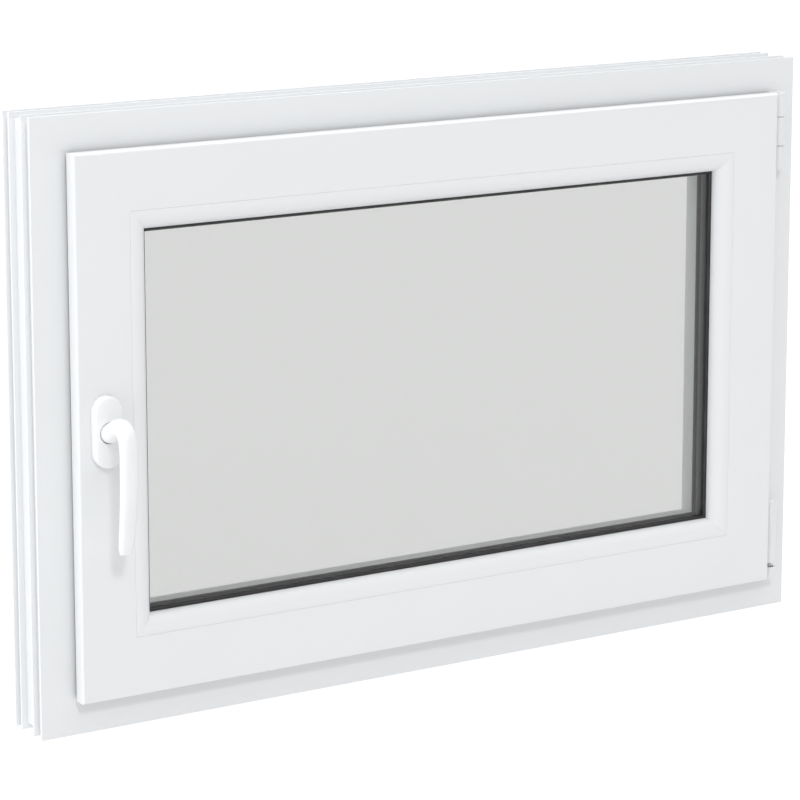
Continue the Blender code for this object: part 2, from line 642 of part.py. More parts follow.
def lever(spin):
    """A round neck that leaves the rosette and bends down into a flattened grip."""
    # (distance in front of the sash, height over the pivot, half width, half thickness)
    stations = (
        (7.0, 0.0, 10.0, 10.0), (12.5, 0.4, 9.5, 9.6), (20.0, 3.8, 9.2, 9.5), (27.5, 7.4, 9.0, 9.2),
        (34.5, 8.8, 8.9, 8.8), (40.5, 6.6, 8.8, 8.2), (44.8, 0.6, 8.7, 7.4), (46.6, -9.0, 8.6, 6.6),
        (46.8, -24.0, 8.6, 6.1), (46.2, -45.0, 8.5, 5.9), (44.6, -66.0, 8.3, 5.7),
        (41.8, -87.0, 7.9, 5.4), (38.8, -103.0, 7.2, 4.9), (37.4, -110.5, 6.0, 3.8),
    )
    centres = [Vector((0, SASH_FRONT - out, HANDLE_Z + up)) for out, up, _, _ in stations]
    around = 18
    flat = circle(0, 0, 1, around)
    sections = []
    for k, (centre, (_, _, wide, thick)) in enumerate(zip(centres, stations)):
        before, after = centres[max(k - 1, 0)], centres[min(k + 1, len(centres) - 1)]
        along = (after - before).normalized() if k else Vector((0, -1, 0))
        across = along.cross(Vector((1, 0, 0))).normalized()
        power = 2 + 0.6 * min(k / 6, 1)    # round at the neck, squarer along the grip
        ring = []
        for u, v in flat:
            blunt = (abs(u) ** power + abs(v) ** power) ** (-1 / power)
            offset = across * (v * blunt * thick)
            ring.append((HANDLE_X + u * blunt * wide, centre.y + offset.y, centre.z + offset.z))
        sections.append(ring)
    finish("handle_lever", skin("lever", [flat], sections), PVC, spin, smooth=True)
    corner = 2.6
    spindle = prism("spindle", [square_hole(SPINDLE, corner)], SASH_FRONT - 6.6, 13, "Y")
    finish("spindle", spindle, METAL, spin)
    wheel = toothed(HUB_PITCH, HUB_TEETH, 0.7, HUB_PITCH - 0.8, 0.36)
    loops = [wheel, square_hole(SPINDLE + GAP, corner + 0.15)]
    finish("gear_hub", prism("hub", loops, 4.0, 10.0, "Y"), METAL, spin)


def build():
    for old in list(bpy.data.objects):
        bpy.data.objects.remove(old)
    turn = axis_empty("turn_axis", AXIS_X, AXIS_Y, TILT_Z)
    tilt = axis_empty("tilt_axis", AXIS_X, AXIS_Y, TILT_Z, turn)
    spin = axis_empty("handle_axis", HANDLE_X, SASH_FRONT, HANDLE_Z, tilt)
    swing = axis_empty("swing_axis", AXIS_X, AXIS_Y, STAY_ARM[0], turn)
    slides = [
        axis_empty(name, -WIDTH / 2 + ROD[0], RAIL_Y, z, tilt)
        for name, z in (("side_slide", HANDLE_Z), ("top_slide", HEIGHT - 55), ("bottom_slide", 55))
    ]
    outer_frame()
    keeps()
    fixed_hinges()
    corner_pin(tilt)
    corner_band(tilt)
    stay(turn, swing)
    sash_frame(tilt)
    glazing(tilt)
    sash_seals(tilt)
    faceplates(tilt)
    gearbox(tilt)
    rods(*slides)
    rosette(tilt)
    lever(spin)


build()
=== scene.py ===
import json
import math

import bmesh
import bpy
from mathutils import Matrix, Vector


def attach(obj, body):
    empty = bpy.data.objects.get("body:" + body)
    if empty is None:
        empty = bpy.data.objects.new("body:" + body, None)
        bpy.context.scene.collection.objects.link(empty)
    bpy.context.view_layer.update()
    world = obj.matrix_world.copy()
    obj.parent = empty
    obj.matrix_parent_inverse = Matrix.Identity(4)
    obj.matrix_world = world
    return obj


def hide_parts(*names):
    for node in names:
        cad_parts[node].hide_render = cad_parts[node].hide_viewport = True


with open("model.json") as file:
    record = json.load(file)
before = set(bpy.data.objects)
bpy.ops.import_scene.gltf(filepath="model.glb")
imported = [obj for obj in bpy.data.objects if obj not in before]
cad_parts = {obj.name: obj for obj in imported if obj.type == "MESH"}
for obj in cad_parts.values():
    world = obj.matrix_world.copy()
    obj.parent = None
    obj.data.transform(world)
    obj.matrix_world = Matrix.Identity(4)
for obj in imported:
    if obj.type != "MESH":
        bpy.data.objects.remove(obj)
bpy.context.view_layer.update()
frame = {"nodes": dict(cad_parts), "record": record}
mm = 0.001
nodes = frame["nodes"]
bodies = frame["record"]["behaviour"]["bodies"]
bodyOf = {node: body for body, names in bodies.items() for node in names}
print("loaded", len(nodes), "nodes")

# the window in millimetres: insets run inwards from the frame's outer edge, y runs outdoors
window = {"wide": 900.0, "high": 600.0}
handle = {"x": -387.0, "z": 300.0, "face": -20.0}
sides = ("left", "right", "top", "bottom")


def mixColour(tree, kind, amount):
    node = tree.nodes.new("ShaderNodeMix")
    node.data_type = "RGBA"
    node.blend_type = kind
    node.inputs[0].default_value = amount
    return node


def noise(tree, scale, detail, source, rough=0.5):
    node = tree.nodes.new("ShaderNodeTexNoise")
    node.inputs["Scale"].default_value = scale
    node.inputs["Detail"].default_value = detail
    node.inputs["Roughness"].default_value = rough
    tree.links.new(source, node.inputs["Vector"])
    return node.outputs["Fac"]


def toRange(tree, source, low, high, outLow, outHigh):
    node = tree.nodes.new("ShaderNodeMapRange")
    for place, value in ((1, low), (2, high), (3, outLow), (4, outHigh)):
        node.inputs[place].default_value = value
    tree.links.new(source, node.inputs[0])
    return node.outputs[0]


def newGroup(name, inputs, outputs):
    group = bpy.data.node_groups.new(name, "ShaderNodeTree")
    for label, value in inputs:
        socket = group.interface.new_socket(label, in_out="INPUT", socket_type="NodeSocketFloat")
        socket.default_value = value
    for label, kind in outputs:
        group.interface.new_socket(label, in_out="OUTPUT", socket_type=kind)
    return group, group.nodes.new("NodeGroupInput"), group.nodes.new("NodeGroupOutput")


# fine surface grain: a height for the bump and a roughness that wanders a little
def makeGrain():
    group, given, result = newGroup(
        "surfaceGrain",
        [("Size", 900.0), ("Base Roughness", 0.3), ("Spread", 0.06)],
        [("Height", "NodeSocketFloat"), ("Roughness", "NodeSocketFloat")],
    )
    place = group.nodes.new("ShaderNodeTexCoord").outputs["Object"]
    fine = noise(group, 900.0, 3.0, place)  # the linked Size takes over its scale
    group.links.new(given.outputs["Size"], group.nodes["Noise Texture"].inputs["Scale"])
    broad = noise(group, 22.0, 4.0, place, 0.6)
    swing = group.nodes.new("ShaderNodeMath")
    swing.operation = "SUBTRACT"
    swing.inputs[1].default_value = 0.5
    group.links.new(broad, swing.inputs[0])
    wander = group.nodes.new("ShaderNodeMath")
    wander.operation = "MULTIPLY_ADD"
    group.links.new(swing.outputs[0], wander.inputs[0])
    group.links.new(given.outputs["Spread"], wander.inputs[1])
    group.links.new(given.outputs["Base Roughness"], wander.inputs[2])
    group.links.new(fine, result.inputs["Height"])
    group.links.new(wander.outputs[0], result.inputs["Roughness"])
    return group


# where a little dust and handling greys the surface, as a mask from 0 to 1
def makeSoil():
    group, given, result = newGroup(
        "faintSoil", [("Scale", 9.0), ("Amount", 0.3)], [("Mask", "NodeSocketFloat")]
    )
    place = group.nodes.new("ShaderNodeTexCoord").outputs["Object"]
    patches = noise(group, 9.0, 6.0, place, 0.62)
    group.links.new(given.outputs["Scale"], group.nodes["Noise Texture"].inputs["Scale"])
    mask = toRange(group, patches, 0.45, 0.75, 0.0, 1.0)
    faded = group.nodes.new("ShaderNodeMath")
    faded.operation = "MULTIPLY"
    group.links.new(mask, faded.inputs[0])
    group.links.new(given.outputs["Amount"], faded.inputs[1])
    group.links.new(faded.outputs[0], result.inputs["Mask"])
    return group


# fine lines drawn along one direction, as rolled or brushed metal has
def makeBrush():
    group, given, result = newGroup(
        "drawnLines", [("Density", 1.0)], [("Height", "NodeSocketFloat"), ("Streak", "NodeSocketFloat")]
    )
    place = group.nodes.new("ShaderNodeTexCoord").outputs["Object"]
    stretch = group.nodes.new("ShaderNodeMapping")
    stretch.inputs["Scale"].default_value = (60.0, 1400.0, 60.0)
    group.links.new(place, stretch.inputs["Vector"])
    lines = noise(group, 1.0, 2.0, stretch.outputs[0])
    group.links.new(given.outputs["Density"], group.nodes["Noise Texture"].inputs["Scale"])
    group.links.new(lines, result.inputs["Height"])
    group.links.new(toRange(group, lines, 0.3, 0.7, 0.0, 1.0), result.inputs["Streak"])
    return group


# the leaf-like crystals of a hot zinc coating
def makeSpangle():
    group, given, result = newGroup(
        "zincSpangle", [("Scale", 160.0)], [("Tone", "NodeSocketFloat"), ("Height", "NodeSocketFloat")]
    )
    place = group.nodes.new("ShaderNodeTexCoord").outputs["Object"]
    cells = group.nodes.new("ShaderNodeTexVoronoi")
    group.links.new(place, cells.inputs["Vector"])
    group.links.new(given.outputs["Scale"], cells.inputs["Scale"])
    split = group.nodes.new("ShaderNodeSeparateColor")
    group.links.new(cells.outputs["Color"], split.inputs[0])
    group.links.new(split.outputs[0], result.inputs["Tone"])
    group.links.new(cells.outputs["Distance"], result.inputs["Height"])
    return group


grain = makeGrain()
soil = makeSoil()
brush = makeBrush()
spangle = makeSpangle()


def useGroup(tree, group, **values):
    node = tree.nodes.new("ShaderNodeGroup")
    node.node_tree = group
    for label, value in values.items():
        node.inputs[label.replace("_", " ")].default_value = value
    return node


def bumpFrom(tree, height, strength, distance):
    node = tree.nodes.new("ShaderNodeBump")
    node.inputs["Strength"].default_value = strength
    node.inputs["Distance"].default_value = distance
    tree.links.new(height, node.inputs["Height"])
    return node.outputs["Normal"]


def startMaterial(name, metallic=0.0, coat=0.0, specular=0.5):
    made = bpy.data.materials.new(name)
    made.use_nodes = True
    shader = made.node_tree.nodes["Principled BSDF"]
    shader.inputs["Metallic"].default_value = metallic
    shader.inputs["Coat Weight"].default_value = coat
    shader.inputs["Specular IOR Level"].default_value = specular
    return made, made.node_tree, shader


# plastic, paint or rubber: grain, a wandering roughness and faint soiling
def softMaterial(name, look):
    made, tree, shader = startMaterial(name, 0.0, look.get("coat", 0.0), look.get("specular", 0.5))
    skin = useGroup(tree, grain, Size=look["grain"], Base_Roughness=look["rough"], Spread=look["spread"])
    marks = useGroup(tree, soil, Scale=look.get("soilScale", 9.0), Amount=look["soil"])
    tint = mixColour(tree, "MIX", 0.0)
    tint.inputs[6].default_value = (*look["colour"], 1)
    tint.inputs[7].default_value = (*look["soiled"], 1)
    tree.links.new(marks.outputs["Mask"], tint.inputs[0])
    tree.links.new(tint.outputs[2], shader.inputs["Base Color"])
    tree.links.new(skin.outputs["Roughness"], shader.inputs["Roughness"])
    tree.links.new(bumpFrom(tree, skin.outputs["Height"], look["bump"], 0.0001), shader.inputs["Normal"])
    return made


# zinc-coated or drawn steel: crystals or lines in tone and bump
def metalMaterial(name, look):
    made, tree, shader = startMaterial(name, 1.0)
    skin = useGroup(tree, grain, Size=look["grain"], Base_Roughness=look["rough"], Spread=look["spread"])
    if look["finish"] == "spangle":
        pattern = useGroup(tree, spangle, Scale=look["crystals"])
        tone = pattern.outputs["Tone"]
    else:
        pattern = useGroup(tree, brush, Density=1.0)
        tone = pattern.outputs["Streak"]
    tint = mixColour(tree, "MIX", 0.5)
    tint.inputs[6].default_value = (*look["colour"], 1)
    tint.inputs[7].default_value = (*look["light"], 1)
    tree.links.new(tone, tint.inputs[0])
    tree.links.new(tint.outputs[2], shader.inputs["Base Color"])
    tree.links.new(skin.outputs["Roughness"], shader.inputs["Roughness"])
    bump = bumpFrom(tree, pattern.outputs["Height"], look["bump"], 0.0001)
    tree.links.new(bump, shader.inputs["Normal"])
    return made


# float glass: clear, a touch green, with a roughness that hardly varies
def glassMaterial(name, look):
    made, tree, shader = startMaterial(name)
    shader.inputs["Transmission Weight"].default_value = 1.0
    shader.inputs["IOR"].default_value = look["bending"]
    shader.inputs["Base Color"].default_value = (*look["colour"], 1)
    place = tree.nodes.new("ShaderNodeTexCoord").outputs["Object"]
    smear = noise(tree, look["smear"], 3.0, place)
    rough = toRange(tree, smear, 0.3, 0.7, 0.0, look["rough"])
    tree.links.new(rough, shader.inputs["Roughness"])
    ripple = noise(tree, look["ripple"], 1.0, place)
    tree.links.new(bumpFrom(tree, ripple, look["bump"], 0.0002), shader.inputs["Normal"])
    return made


looks = {
    "white_pvc": {"colour": (0.80, 0.815, 0.83), "soiled": (0.76, 0.765, 0.76), "soil": 0.16,
                  "rough": 0.34, "spread": 0.10, "grain": 1400.0, "bump": 0.10, "specular": 0.45},
    "handle_white": {"colour": (0.86, 0.87, 0.88), "soiled": (0.74, 0.74, 0.73), "soil": 0.14,
                     "rough": 0.20, "spread": 0.08, "grain": 2200.0, "bump": 0.08, "soilScale": 30.0},
    "hinge_white": {"colour": (0.78, 0.79, 0.80), "soiled": (0.70, 0.70, 0.69), "soil": 0.2,
                    "rough": 0.32, "spread": 0.08, "grain": 2000.0, "bump": 0.12, "soilScale": 40.0},
    # the same black also paints the shade inside the spacer's breather holes
    "black_rubber": {"colour": (0.02, 0.02, 0.021), "soiled": (0.07, 0.07, 0.07), "soil": 0.35,
                     "rough": 0.55, "spread": 0.14, "grain": 1500.0, "bump": 0.35, "soilScale": 25.0},
    "grey_rubber": {"colour": (0.20, 0.205, 0.21), "soiled": (0.15, 0.15, 0.148), "soil": 0.3,
                    "rough": 0.6, "spread": 0.12, "grain": 1500.0, "bump": 0.3, "soilScale": 25.0},
    "dark_spacer": {"colour": (0.075, 0.078, 0.082), "soiled": (0.13, 0.13, 0.13), "soil": 0.4,
                    "rough": 0.42, "spread": 0.14, "grain": 1200.0, "bump": 0.25, "soilScale": 30.0},
    "grey_plastic": {"colour": (0.30, 0.31, 0.32), "soiled": (0.24, 0.24, 0.24), "soil": 0.3,
                     "rough": 0.5, "spread": 0.12, "grain": 1200.0, "bump": 0.25, "soilScale": 25.0},
}
metals = {
    "galvanised_steel": {"colour": (0.46, 0.47, 0.48), "light": (0.62, 0.63, 0.64), "rough": 0.42,
                         "spread": 0.12, "grain": 600.0, "finish": "spangle", "crystals": 160.0,
                         "bump": 0.12},
    "hardware_steel": {"colour": (0.50, 0.51, 0.52), "light": (0.60, 0.605, 0.61), "rough": 0.33,
                       "spread": 0.12, "grain": 600.0, "finish": "lines", "bump": 0.15},
}
glass = {
    "colour": (0.775, 0.78, 0.775), "bending": 1.5, "smear": 6.0, "rough": 0.012, "ripple": 3.0,
    "bump": 0.02,
}
materials = {name: softMaterial(name, look) for name, look in looks.items()}
materials.update({name: metalMaterial(name, look) for name, look in metals.items()})
materials["clear_glass"] = glassMaterial("clear_glass", glass)
print("materials", len(materials))


def arc(u, v, radius, start, end, steps):
    angles = [math.radians(start + (end - start) * i / steps) for i in range(steps + 1)]
    return [(u + radius * math.cos(a), v + radius * math.sin(a)) for a in angles]


# the outline with each corner replaced by a small arc, in millimetres
def rounded(points, radius, steps=3):
    result = []
    count = len(points)
    for k, here in enumerate(points):
        here = Vector(here)
        back = Vector(points[k - 1]) - here
        on = Vector(points[(k + 1) % count]) - here
        reach = min(radius, back.length * 0.45, on.length * 0.45)
        a, b = here + back.normalized() * reach, here + on.normalized() * reach
        straight = back.normalized().dot(on.normalized()) < -0.985
        if straight or reach < 0.05:
            result.append(tuple(here))
            continue
        for i in range(steps + 1):
            t = i / steps
            result.append(tuple((1 - t) ** 2 * a + 2 * t * (1 - t) * here + t * t * b))
    return result


# closes the mesh up, faces it outwards and links it as a smooth-shaded object
def toObject(name, shape, material, sharp=38.0):
    bmesh.ops.remove_doubles(shape, verts=shape.verts, dist=1e-6)
    bmesh.ops.recalc_face_normals(shape, faces=shape.faces)
    mesh = bpy.data.meshes.new(name)
    shape.to_mesh(mesh)
    shape.free()
    mesh.materials.append(materials[material])
    mesh.shade_smooth()
    mesh.set_sharp_from_angle(angle=math.radians(sharp))
    made = bpy.data.objects.new(name, mesh)
    bpy.context.collection.objects.link(made)
    return made


# ties a finished piece to its body and hides the imported pieces it replaces
def seat(piece, body, slot, *replaced):
    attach(piece, body)
    if replaced:
        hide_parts(*replaced)
    return piece


# an endless bar: the outline (inset, y) carried round the window's four corners
def ringAround(name, outline, material):
    half, high = window["wide"] / 2, window["high"]
    shape = bmesh.new()
    rows = []
    for inset, y in outline:
        out, low, top = half - inset, inset, high - inset
        corners = [(-out, low), (out, low), (out, top), (-out, top)]
        rows.append([shape.verts.new((x * mm, y * mm, z * mm)) for x, z in corners])
    for k, row in enumerate(rows):
        after = rows[(k + 1) % len(rows)]
        for i in range(4):
            j = (i + 1) % 4
            shape.faces.new((row[i], row[j], after[j], after[i]))
    return toObject(name, shape, material)


# one straight bar of the ring, closed by its two mitre faces, gap mm from its neighbours
def mitredBar(name, side, outline, material, gap):
    half, high = window["wide"] / 2, window["high"]
    shape = bmesh.new()
    first, second = [], []
    for inset, y in outline:
        away = inset + gap
        ends = {
            "left": ((-half + inset, away), (-half + inset, high - away)),
            "right": ((half - inset, away), (half - inset, high - away)),
            "bottom": ((-half + away, inset), (half - away, inset)),
            "top": ((-half + away, high - inset), (half - away, high - inset)),
        }[side]
        first.append(shape.verts.new((ends[0][0] * mm, y * mm, ends[0][1] * mm)))
        second.append(shape.verts.new((ends[1][0] * mm, y * mm, ends[1][1] * mm)))
    count = len(outline)
    for k in range(count):
        j = (k + 1) % count
        shape.faces.new((first[k], first[j], second[j], second[k]))
    shape.faces.new(first)
    shape.faces.new(second)
    return toObject(name, shape, material)


# applies the piece's modifiers into one plain mesh
def baked(piece):
    bpy.context.view_layer.update()
    seen = piece.evaluated_get(bpy.context.evaluated_depsgraph_get())
    mesh = bpy.data.meshes.new_from_object(seen)
    piece.modifiers.clear()
    piece.data = mesh
    return piece


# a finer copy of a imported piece, its hard edges softened by a small round
def refined(node, width=0.35, segments=2, sharp=40.0):
    shape = bmesh.new()
    shape.from_mesh(nodes[node].data)
    bmesh.ops.remove_doubles(shape, verts=shape.verts, dist=1e-5)
    bmesh.ops.dissolve_limit(shape, angle_limit=math.radians(1.0), verts=shape.verts, edges=shape.edges)
    piece = toObject(node + "_fine", shape, slotFor(node), sharp)
    if width:
        bevel = piece.modifiers.new("soften", "BEVEL")
        bevel.width = width * mm
        bevel.segments = segments
        bevel.limit_method = "ANGLE"
        bevel.angle_limit = math.radians(sharp)
        bevel.harden_normals = True
        baked(piece)
    return seat(piece, bodyOf[node], slotFor(node), node)


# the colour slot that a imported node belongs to
def slotFor(node):
    if node.startswith(("frame_steel", "sash_steel")):
        return "galvanised_steel"
    if node in ("frame_seal", "bead_gasket", "outer_gasket"):
        return "black_rubber"
    if node.startswith("sash_seal"):
        return "grey_rubber"
    if node.startswith(("frame_", "sash_", "bead_")):
        return "white_pvc"
    if node in ("handle_lever", "rosette_cover"):
        return "handle_white"
    if node in ("stay_bearing", "corner_bearing", "corner_band_cover", "stay_arm_cover"):
        return "hinge_white"
    if node in ("inner_pane", "outer_pane"):
        return "clear_glass"
    if node == "spacer":
        return "dark_spacer"
    if node.startswith("setting_block") or node == "rosette_base":
        return "grey_plastic"
    return "hardware_steel"


for node, thing in nodes.items():
    thing.data.materials.clear()
    thing.data.materials.append(materials[slotFor(node)])

# outer frame and sash have welded corners, so each is one endless bar

frameProfile = {
    "face": 42.0, "lip": 62.0, "lipFront": 43.0, "depth": 58.0, "finDepth": 6.0,
    "fins": ((0.0, 3.2), (17.0, 20.0), (42.7, 45.5), (55.5, 58.0)),
    "slot": (55.8, 58.8, 45.0), "chamfer": 2.6, "lipChamfer": 2.0, "softness": 0.5,
}


def makeFrame():
    at = frameProfile
    face, lip, lipFront, depth = at["face"], at["lip"], at["lipFront"], at["depth"]
    cut, lipCut = at["chamfer"], at["lipChamfer"]
    slotFrom, slotTo, slotDepth = at["slot"]
    points = [(0, 0), (face - cut, 0), (face, cut), (face, lipFront)]
    points += [(slotFrom, lipFront), (slotFrom, slotDepth), (slotTo, slotDepth), (slotTo, lipFront)]
    points += [(lip - lipCut, lipFront), (lip, lipFront + lipCut)]
    points += [(lip, depth - lipCut), (lip - lipCut, depth), (0, depth)]
    fins = at["fins"]
    for outer, inner in zip(fins[:0:-1], fins[-2::-1]):
        points += [(0, outer[0]), (at["finDepth"], outer[0]), (at["finDepth"], inner[1]), (0, inner[1])]
    ring = ringAround("frame_skin", rounded(points, at["softness"]), "white_pvc")
    return seat(ring, "frame", "white_pvc", *["frame_" + side for side in sides])


sashProfile = {
    "edge": 35.0, "side": 54.0, "rebate": 93.0, "lip": 113.0, "lipInner": 19.0, "front": -20.0,
    "flangeBack": -5.0, "back": 40.0, "groove": (2.4, 13.6, 58.6), "slot": (37.4, 40.2, -6.8),
    "round": 3.0, "lipChamfer": 2.0, "softness": 0.4,
}


def makeSash():
    at = sashProfile
    edge, side, lip, cut = at["edge"], at["side"], at["lip"], at["lipChamfer"]
    front, flangeBack, back = at["front"], at["flangeBack"], at["back"]
    grooveFrom, grooveTo, grooveBottom = at["groove"]
    slotFrom, slotTo, slotBottom = at["slot"]
    plain = [(at["rebate"], front), (at["rebate"], at["lipInner"]), (lip - cut, at["lipInner"])]
    plain += [(lip, at["lipInner"] + cut), (lip, back - cut), (lip - cut, back), (side, back)]
    plain += [(side, grooveTo), (grooveBottom, grooveTo), (grooveBottom, grooveFrom), (side, grooveFrom)]
    plain += [(side, flangeBack), (slotTo, flangeBack), (slotTo, slotBottom), (slotFrom, slotBottom)]
    plain += [(slotFrom, flangeBack), (edge, flangeBack), (edge, front + at["round"])]
    nose = arc(edge + at["round"], front + at["round"], at["round"], 180, 270, 12)
    ring = ringAround("sash_skin", rounded(plain, at["softness"])[:-1] + nose, "white_pvc")
    return seat(ring, "sash", "white_pvc", *["sash_" + side for side in sides])


beadProfile = {
    "near": 93.08, "from": 96.5, "heel": 96.6, "sight": 112.3, "front": -20.0, "back": -7.3, "foot": 4.0,
    "drop": 11.7, "nose": 1.0, "corner": 0.35, "around": 18, "gap": 0.02,
}


def makeBeads():
    at = beadProfile
    wide, corner = at["sight"] - at["from"], at["corner"]
    outline = arc(at["near"] + corner, at["front"] + corner, corner, 180, 270, 3)
    for k in range(at["around"] + 1):
        a = math.radians(90 * k / at["around"])
        depth = at["back"] - at["nose"] - at["drop"] * math.cos(a)
        outline.append((at["from"] + wide * math.sin(a), depth))
    outline += [(at["sight"], at["back"]), (at["heel"], at["back"]), (at["heel"], at["foot"])]
    outline.append((at["near"], at["foot"]))
    for side in sides:
        bar = mitredBar("bead_skin_" + side, side, outline, "white_pvc", at["gap"])
        seat(bar, "sash", "white_pvc", "bead_" + side)


gasketProfile = {"root": 99.0, "lip": 115.2, "front": -7.0, "back": -4.3, "chamfer": (1.0, 0.8)}


def makeGasket():
    at = gasketProfile
    along, down = at["chamfer"]
    outline = [(at["root"], at["front"]), (at["lip"] - along, at["front"]), (at["lip"], at["front"] + down)]
    outline += [(at["lip"], at["back"]), (at["root"], at["back"])]
    ring = ringAround("gasket_skin", outline, "black_rubber")
    return seat(ring, "sash", "black_rubber", "bead_gasket")


makeFrame()
makeSash()
makeBeads()
makeGasket()
print("frame, sash and beads made")

leverForm = {
    # distance in front of the sash, height over the pivot, half width, half thickness
    "stations": (
        (7.0, 0.0, 10.0, 10.0), (12.5, 0.4, 9.5, 9.6), (20.0, 3.8, 9.2, 9.5), (27.5, 7.4, 9.0, 9.2),
        (34.5, 8.8, 8.9, 8.8), (40.5, 6.6, 8.8, 8.2), (44.8, 0.6, 8.7, 7.4), (46.6, -9.0, 8.6, 6.6),
        (46.8, -24.0, 8.6, 6.1), (46.2, -45.0, 8.5, 5.9), (44.6, -66.0, 8.3, 5.7),
        (41.8, -87.0, 7.9, 5.4), (38.8, -103.0, 7.2, 4.9), (37.4, -110.5, 6.0, 3.8),
    ),
    "around": 48, "between": 5,
    "squareness": 0.6, "squareBy": 6,  # how boxy the section gets, and by which station
    "tipInset": 0.8, "tipDome": 0.35,
}


# more rows between the given ones, on a Catmull-Rom line
def smoothPath(rows, between):
    result = []
    for k in range(len(rows) - 1):
        p0, p1 = Vector(rows[max(k - 1, 0)]), Vector(rows[k])
        p2, p3 = Vector(rows[k + 1]), Vector(rows[min(k + 2, len(rows) - 1)])
        for i in range(between):
            t = i / between
            bend = (2 * p0 - 5 * p1 + 4 * p2 - p3) * t * t + (3 * p1 - p0 - 3 * p2 + p3) * t * t * t
            result.append(tuple((2 * p1 + (p2 - p0) * t + bend) / 2))
    result.append(tuple(rows[-1]))
    return result


def makeLever():
    form = leverForm
    rows = smoothPath(form["stations"], form["between"])
    centres = [Vector((0, handle["face"] - row[0], handle["z"] + row[1])) for row in rows]
    shape = bmesh.new()
    rings = []
    for k, (centre, row) in enumerate(zip(centres, rows)):
        before, after = centres[max(k - 1, 0)], centres[min(k + 1, len(centres) - 1)]
        along = (after - before).normalized() if k else Vector((0, -1, 0))
        across = along.cross(Vector((1, 0, 0))).normalized()
        power = 2 + form["squareness"] * min(k / (form["squareBy"] * form["between"]), 1)
        ring = []
        for i in range(form["around"]):
            a = math.tau * i / form["around"]
            u, v = math.cos(a), math.sin(a)
            blunt = (abs(u) ** power + abs(v) ** power) ** (-1 / power)
            spot = centre + across * (v * blunt * row[3])
            x = handle["x"] + u * blunt * row[2]
            ring.append(shape.verts.new((x * mm, spot.y * mm, spot.z * mm)))
        rings.append(ring)
    for a, b in zip(rings, rings[1:]):
        for i in range(form["around"]):
            j = (i + 1) % form["around"]
            shape.faces.new((a[i], a[j], b[j], b[i]))
    shape.faces.new(rings[0])
    tip = shape.faces.new(rings[-1])
    bmesh.ops.inset_region(shape, faces=[tip], thickness=form["tipInset"] * mm)
    bmesh.ops.translate(shape, verts=tip.verts, vec=(0, 0, -form["tipDome"] * mm))
    lever = toObject("lever_skin", shape, "handle_white", 50.0)
    return seat(lever, "handle", "handle_white", "handle_lever")


makeLever()
refined("rosette_cover", 0.5, 3)
print("handle made")

# every other piece keeps its packed form, with softened edges

softEdges = {
    "inner_pane": 0.5, "outer_pane": 0.5, "outer_gasket": 0.3, "spacer": 0.4,
    "frame_seal": 0.3, "sash_seal": 0.3, "sash_seal_hinge_side": 0.3, "rosette_base": 0.4,
    "stay_bearing": 0.5, "corner_bearing": 0.6, "corner_band_cover": 0.5, "corner_band": 0.3,
    "stay_arm": 0.25, "stay_pin": 0.5, "corner_pin": 0.5, "gear_hub": 0.15, "side_rod": 0.12,
}
done = {"handle_lever", "rosette_cover", "bead_gasket"}
done |= {f"{part}_{side}" for part in ("frame", "sash", "bead") for side in sides}
for node in sorted(nodes):
    if node not in done:
        refined(node, softEdges.get(node, 0.25))
print("other pieces made")


def startTree(name, inputs):
    tree = bpy.data.node_groups.new(name, "GeometryNodeTree")
    tree.interface.new_socket("Geometry", in_out="OUTPUT", socket_type="NodeSocketGeometry")
    sockets = {}
    for label, kind, value in inputs:
        socket = tree.interface.new_socket(label, in_out="INPUT", socket_type=kind)
        socket.default_value = value
        sockets[label] = socket.identifier
    return tree, sockets, tree.nodes.new("NodeGroupInput"), tree.nodes.new("NodeGroupOutput")


def endTree(tree, result, geometry, material):
    real = tree.nodes.new("GeometryNodeRealizeInstances")
    paint = tree.nodes.new("GeometryNodeSetMaterial")
    paint.inputs["Material"].default_value = materials[material]
    tree.links.new(geometry, real.inputs[0])
    tree.links.new(real.outputs[0], paint.inputs[0])
    tree.links.new(paint.outputs[0], result.inputs[0])


# runs a tree once and keeps its result as a plain mesh
def runTree(name, tree, sockets, values, material):
    mesh = bpy.data.meshes.new(name)
    thing = bpy.data.objects.new(name, mesh)
    bpy.context.collection.objects.link(thing)
    step = thing.modifiers.new("grow", "NODES")
    step.node_group = tree
    for label, value in values.items():
        step[sockets[label]] = value
    baked(thing)
    thing.data.name = name
    if not thing.data.materials:
        thing.data.materials.append(materials[material])
    return thing


screwForm = {"radius": 2.6, "height": 0.7}


